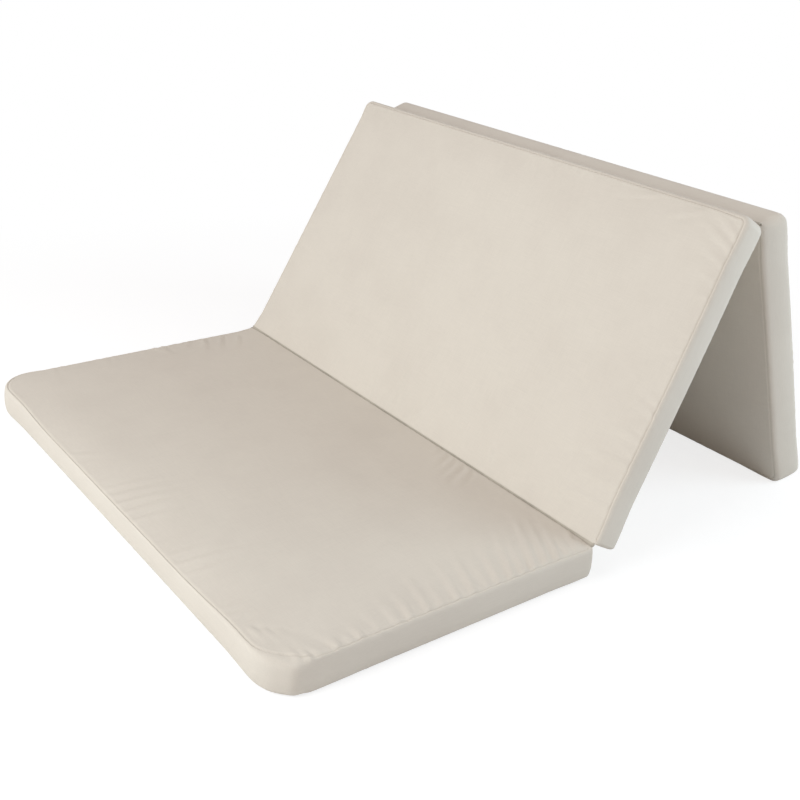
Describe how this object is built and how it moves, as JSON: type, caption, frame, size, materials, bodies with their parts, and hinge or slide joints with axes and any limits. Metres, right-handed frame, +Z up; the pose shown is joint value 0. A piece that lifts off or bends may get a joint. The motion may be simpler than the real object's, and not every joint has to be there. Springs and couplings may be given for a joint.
{
  "type": "folding futon mattress",
  "caption": "Folding foam floor mattress: panels in zipped cloth covers, joined by sewn cloth hinges, one lying flat and the others propped up as a backrest.",
  "frame": {"origin": "on the floor, under the middle of the whole mattress as it stands", "axes": "+Z up, +X from the flat panel towards the propped panels, Y along the folds, with the zips on the +Y side"},
  "size_m": [1.3518, 1.2, 0.642],
  "materials": {
    "cover_cloth": "closely woven cream cotton blend, matt with a faint sheen",
    "foam": "open-cell polyurethane foam, cut faces",
    "hinge_cloth": "doubled cream cloth, sewn along both edges",
    "zip_tape": "woven zip tape",
    "zip_coil": "moulded coil teeth",
    "zip_metal": "nickel-plated zinc"
  },
  "bodies": {
    "first_panel": {"first_panel_foam": "foam", "first_panel_top_cover": "cover_cloth", "first_panel_bottom_cover": "cover_cloth", "first_panel_border": "cover_cloth", "first_panel_zip_tape_upper": "zip_tape", "first_panel_zip_tape_lower": "zip_tape", "first_panel_zip_chain": "zip_coil", "first_panel_zip_closed_stop": "zip_metal", "first_panel_zip_open_stop": "zip_metal", "first_fold_hinge_strip": "hinge_cloth"},
    "second_panel": {"second_panel_foam": "foam", "second_panel_top_cover": "cover_cloth", "second_panel_bottom_cover": "cover_cloth", "second_panel_border": "cover_cloth", "second_panel_zip_tape_upper": "zip_tape", "second_panel_zip_tape_lower": "zip_tape", "second_panel_zip_chain": "zip_coil", "second_panel_zip_closed_stop": "zip_metal", "second_panel_zip_open_stop": "zip_metal", "second_fold_hinge_strip": "hinge_cloth"},
    "third_panel": {"third_panel_foam": "foam", "third_panel_top_cover": "cover_cloth", "third_panel_bottom_cover": "cover_cloth", "third_panel_border": "cover_cloth", "third_panel_zip_tape_upper": "zip_tape", "third_panel_zip_tape_lower": "zip_tape", "third_panel_zip_chain": "zip_coil", "third_panel_zip_closed_stop": "zip_metal", "third_panel_zip_open_stop": "zip_metal"},
    "first_slider": {"first_panel_zip_slider": "zip_metal"},
    "first_pull": {"first_panel_zip_pull": "zip_metal"},
    "second_slider": {"second_panel_zip_slider": "zip_metal"},
    "second_pull": {"second_panel_zip_pull": "zip_metal"},
    "third_slider": {"third_panel_zip_slider": "zip_metal"},
    "third_pull": {"third_panel_zip_pull": "zip_metal"}
  },
  "joints": [
    {"name": "first_fold", "type": "hinge", "parent": "first_panel", "child": "second_panel", "pos_m": [-0.00995, 0, 0.0705], "axis": [0, -1, 0], "range_deg": [-60.5, 119.5], "deforming": ["first_fold_hinge_strip"]},
    {"name": "second_fold", "type": "hinge", "parent": "second_panel", "child": "third_panel", "pos_m": [0.38029, 0, 0.61606], "axis": [0, -1, 0], "range_deg": [-50.3, 129.6], "deforming": ["second_fold_hinge_strip"]},
    {"name": "first_zip_slide", "type": "slide", "parent": "first_panel", "child": "first_slider", "axis": [1, 0, 0], "range_m": [0, 0.3815]},
    {"name": "first_pull_swing", "type": "hinge", "parent": "first_slider", "child": "first_pull", "pos_m": [-0.51985, 0.5981, 0.035], "axis": [0, 0, 1], "range_deg": [0, 180]},
    {"name": "second_zip_slide", "type": "slide", "parent": "second_panel", "child": "second_slider", "axis": [-0.4924, 0, -0.8704], "range_m": [0, 0.3815]},
    {"name": "second_pull_swing", "type": "hinge", "parent": "second_slider", "child": "second_pull", "pos_m": [0.27918, 0.5981, 0.50943], "axis": [0.8704, 0, -0.4924], "range_deg": [0, 180]},
    {"name": "third_zip_slide", "type": "slide", "parent": "third_panel", "child": "third_slider", "axis": [0.3557, 0, -0.9346], "range_m": [0, 0.3815]},
    {"name": "third_pull_swing", "type": "hinge", "parent": "third_slider", "child": "third_pull", "pos_m": [0.45904, 0.5981, 0.50897], "axis": [0.9346, 0, 0.3557], "range_deg": [0, 180]}
  ]
}
